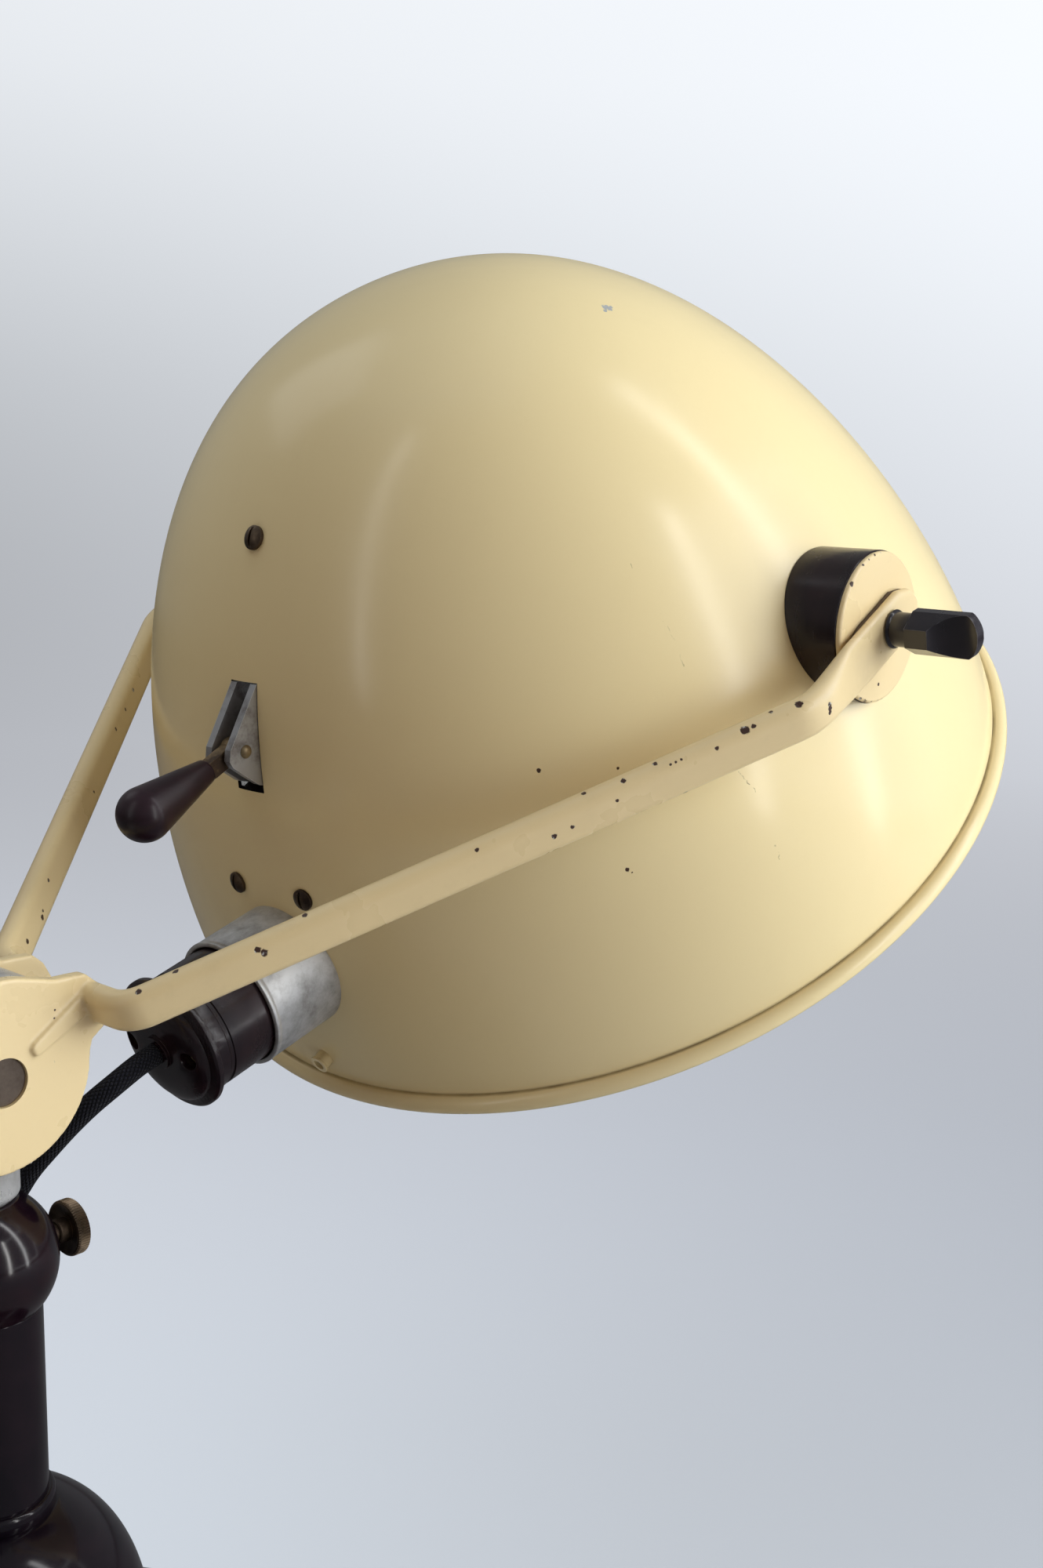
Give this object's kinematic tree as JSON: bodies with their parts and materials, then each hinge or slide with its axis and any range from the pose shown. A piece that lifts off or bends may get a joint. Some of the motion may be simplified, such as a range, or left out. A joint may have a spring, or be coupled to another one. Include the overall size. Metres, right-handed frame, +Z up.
{
  "type": "medical sun lamp",
  "caption": "Table lamp for medical light therapy: weighted base, ball-necked column, tilting yoke, deep enamelled shade with a lever-tilted burner, and a textile lead.",
  "frame": {"origin": "centre of the base's felt underside, on the table", "axes": "+Z up along the column, +X the way the light aims, +Y the lamp's left side"},
  "size_m": [0.5072, 0.4381, 0.4366],
  "materials": {
    "felt": "dense wool felt",
    "steel": "dull steel, lightly stained",
    "cast_iron": "rough casting",
    "black_enamel": "glossy black enamel",
    "yoke_enamel": "cream enamel chipped to brown",
    "shade_enamel": "aged cream enamel, crazed and specked",
    "bakelite": "near-black moulded resin, worn gloss",
    "brown_bakelite": "dark red-brown moulded resin",
    "brass": "dull brass",
    "screw_brass": "browned brass",
    "bronze": "worn bronze",
    "fibre": "vulcanised fibre",
    "aluminium": "scuffed cast aluminium",
    "steatite": "glazed ceramic",
    "quartz": "clear fused quartz",
    "braid": "black textile braid",
    "tape": "woven cotton tape",
    "plated_pin": "nickel-plated brass"
  },
  "bodies": {
    "stand": {"base_felt": "felt", "base_plate": "steel", "base_screws": "steel", "base_weight": "cast_iron", "base_cover": "black_enamel", "tie_rod": "steel", "column": "black_enamel", "column_ring": "black_enamel", "ball_head": "bakelite", "ball_bush": "brass", "swivel_washer": "fibre", "cord_drop": "braid", "cord_coil": "braid", "cord_tail": "braid", "cord_tie": "tape", "mains_plug": "bakelite", "mains_pins": "plated_pin"},
    "clamp": {"clamp_screw": "screw_brass"},
    "neck": {"swivel_neck": "aluminium"},
    "yoke": {"hinge_pin": "brass", "hinge_washers": "fibre", "right_arm": "yoke_enamel", "left_arm": "yoke_enamel", "cord_neck": "braid"},
    "head": {"shade": "shade_enamel", "rim_ring": "shade_enamel", "right_boss": "bakelite", "left_boss": "bakelite", "right_cover": "yoke_enamel", "left_cover": "yoke_enamel", "right_stud": "steel", "left_stud": "steel", "boss_washers": "fibre", "collar": "aluminium", "inlet_insulator": "steatite", "inlet_pins": "brass", "collar_screws": "screw_brass", "top_screw": "screw_brass", "vent_eyelet": "shade_enamel", "plug_front": "bakelite", "plug_back": "bakelite", "plug_screws": "screw_brass", "lever_bracket": "steel", "lever_rivet": "brass", "burner_bracket": "steel", "terminal_block": "steatite", "cord_head": "braid"},
    "lever": {"lever_bar": "bronze", "lever_handle": "brown_bakelite"},
    "cradle": {"burner_cradle": "steel", "cradle_pin": "brass", "burner_tube": "quartz", "burner_poles": "aluminium", "burner_clips": "steel"},
    "right_wing": {"right_knob": "bakelite"},
    "left_wing": {"left_knob": "bakelite"}
  },
  "joints": [
    {"name": "clamp_turn", "type": "hinge", "parent": "stand", "child": "clamp", "pos_m": [0, 0, 0.1745], "axis": [1, 0, 0], "range_deg": [0, 270]},
    {"name": "neck_pan", "type": "hinge", "parent": "stand", "child": "neck", "pos_m": [0, 0, 0.1745], "axis": [0, 0, 1], "range_deg": [-15, 75], "deforming": ["cord_neck", "cord_drop", "cord_head"]},
    {"name": "yoke_tilt", "type": "hinge", "parent": "neck", "child": "yoke", "pos_m": [0, 0, 0.225], "axis": [0, -1, 0], "range_deg": [-25, 50], "deforming": ["cord_neck", "cord_head"]},
    {"name": "head_tilt", "type": "hinge", "parent": "yoke", "child": "head", "pos_m": [0.19736, 0, 0.33305], "axis": [0, -1, 0], "range_deg": [-10, 60], "deforming": ["cord_head"]},
    {"name": "lever_swing", "type": "hinge", "parent": "head", "child": "lever", "pos_m": [0.08308, 0, 0.29568], "axis": [0, -1, 0], "range_deg": [-10, 20]},
    {"name": "cradle_tilt", "type": "hinge", "parent": "head", "child": "cradle", "pos_m": [0.19048, 0, 0.33813], "axis": [0, -1, 0], "range_deg": [-14, 7]},
    {"name": "right_knob_turn", "type": "hinge", "parent": "head", "child": "right_wing", "pos_m": [0.19736, -0.145, 0.33305], "axis": [0, -1, 0], "range_deg": [0, 270]},
    {"name": "left_knob_turn", "type": "hinge", "parent": "head", "child": "left_wing", "pos_m": [0.19736, 0.145, 0.33305], "axis": [0, 1, 0], "range_deg": [0, 270]}
  ],
  "couplings": [
    {"joint": "cradle_tilt", "follows": "lever_swing", "ratio": -0.685}
  ]
}
